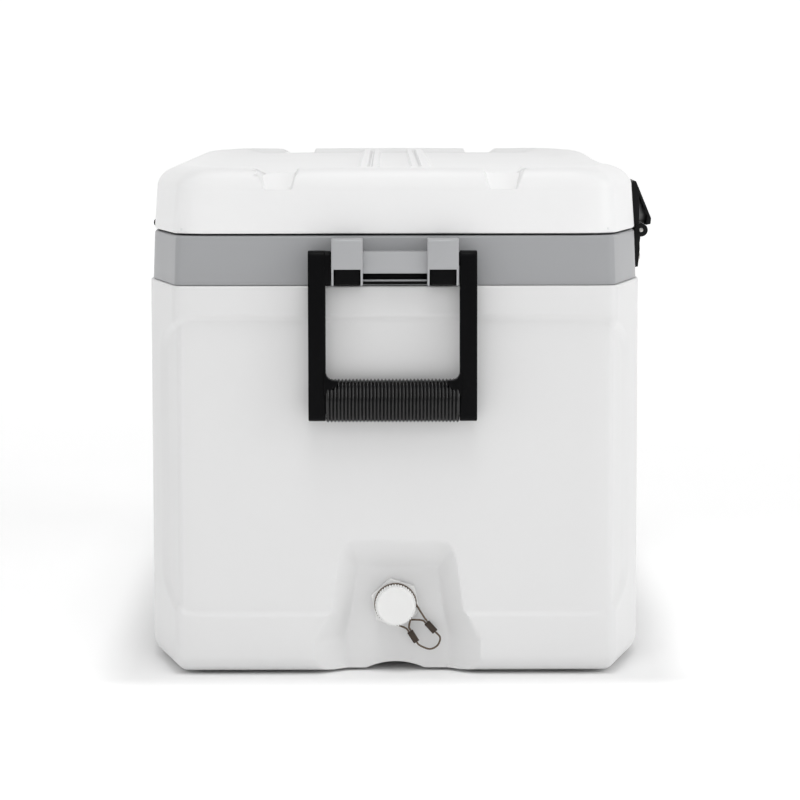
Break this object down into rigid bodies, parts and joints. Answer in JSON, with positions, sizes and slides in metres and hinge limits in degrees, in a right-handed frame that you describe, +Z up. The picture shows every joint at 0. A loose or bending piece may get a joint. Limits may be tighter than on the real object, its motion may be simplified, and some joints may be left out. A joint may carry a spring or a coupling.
{
  "type": "cooler chest",
  "caption": "Insulated hard-sided cooler chest with a hinged lid, front latches, swinging bail handles at the ends and a capped drain.",
  "frame": {"origin": "middle of the flat underside", "axes": "+Z up; X along the chest, with the drain at the -X end; -Y is the latch side and +Y the hinge side"},
  "size_m": [0.748, 0.4282, 0.414],
  "materials": {
    "white_shell": "satin, fine moulded texture",
    "liner": "smooth",
    "grey_collar": "semi-gloss",
    "grey_bracket": "semi-gloss",
    "black_plastic": "satin",
    "black_grip": "ribbed, matt",
    "foam": "rigid polyurethane foam",
    "seal": "matt",
    "stainless": "bright with brown streaks",
    "drain_plastic": "satin"
  },
  "bodies": {
    "chest": {"outer_shell": "white_shell", "inner_liner": "liner", "body_foam": "foam", "rim_collar": "grey_collar", "left_handle_bracket": "grey_bracket", "left_handle_bearing_front": "black_plastic", "left_handle_bearing_rear": "black_plastic", "right_handle_bracket": "grey_bracket", "right_handle_bearing_front": "black_plastic", "right_handle_bearing_rear": "black_plastic", "left_latch_leaf": "black_plastic", "left_latch_pin": "stainless", "left_latch_screw_1": "stainless", "left_latch_screw_2": "stainless", "right_latch_leaf": "black_plastic", "right_latch_pin": "stainless", "right_latch_screw_1": "stainless", "right_latch_screw_2": "stainless", "left_hinge_body_leaf": "black_plastic", "left_hinge_pin": "stainless", "left_hinge_body_screw_1": "stainless", "left_hinge_body_screw_2": "stainless", "right_hinge_body_leaf": "black_plastic", "right_hinge_pin": "stainless", "right_hinge_body_screw_1": "stainless", "right_hinge_body_screw_2": "stainless", "drain_spout": "drain_plastic", "drain_washer": "seal", "drain_nut": "drain_plastic", "tether_spout_loop": "stainless", "tether_spout_ferrule": "stainless", "tether_link": "stainless"},
    "lid": {"lid_shell": "white_shell", "lid_liner": "liner", "lid_foam": "foam", "lid_gasket": "seal", "left_hinge_lid_leaf": "black_plastic", "left_hinge_lid_screw_1": "stainless", "left_hinge_lid_screw_2": "stainless", "right_hinge_lid_leaf": "black_plastic", "right_hinge_lid_screw_1": "stainless", "right_hinge_lid_screw_2": "stainless"},
    "left_handle": {"left_handle_bail": "black_plastic", "left_handle_grip": "black_grip"},
    "right_handle": {"right_handle_bail": "black_plastic", "right_handle_grip": "black_grip"},
    "left_latch": {"left_latch_lever": "black_plastic"},
    "right_latch": {"right_latch_lever": "black_plastic"},
    "cap_seat": {"drain_cap_seal": "seal", "tether_cap_loop": "stainless", "tether_cap_ferrule": "stainless"},
    "cap": {"drain_cap": "drain_plastic"}
  },
  "joints": [
    {"name": "lid_hinge", "type": "hinge", "parent": "chest", "child": "lid", "pos_m": [0, 0.2061, 0.36025], "axis": [-1, 0, 0], "range_deg": [0, 100]},
    {"name": "left_handle_swing", "type": "hinge", "parent": "chest", "child": "left_handle", "pos_m": [-0.365, 0, 0.3415], "axis": [0, 1, 0], "range_deg": [0, 100]},
    {"name": "right_handle_swing", "type": "hinge", "parent": "chest", "child": "right_handle", "pos_m": [0.365, 0, 0.3415], "axis": [0, -1, 0], "range_deg": [0, 100]},
    {"name": "left_latch_swing", "type": "hinge", "parent": "chest", "child": "left_latch", "pos_m": [-0.177, -0.2093, 0.3572], "axis": [1, 0, 0], "range_deg": [0, 115]},
    {"name": "right_latch_swing", "type": "hinge", "parent": "chest", "child": "right_latch", "pos_m": [0.177, -0.2093, 0.3572], "axis": [1, 0, 0], "range_deg": [0, 115]},
    {"name": "cap_travel", "type": "slide", "parent": "chest", "child": "cap_seat", "axis": [-1, 0, 0], "range_m": [0, 0.0076]},
    {"name": "cap_turn", "type": "hinge", "parent": "cap_seat", "child": "cap", "pos_m": [-0.347, 0, 0.0567], "axis": [-1, 0, 0], "range_deg": [0, 1080]}
  ],
  "couplings": [
    {"joint": "cap_travel", "follows": "cap_turn", "m_per_rad": 0.00039789}
  ]
}
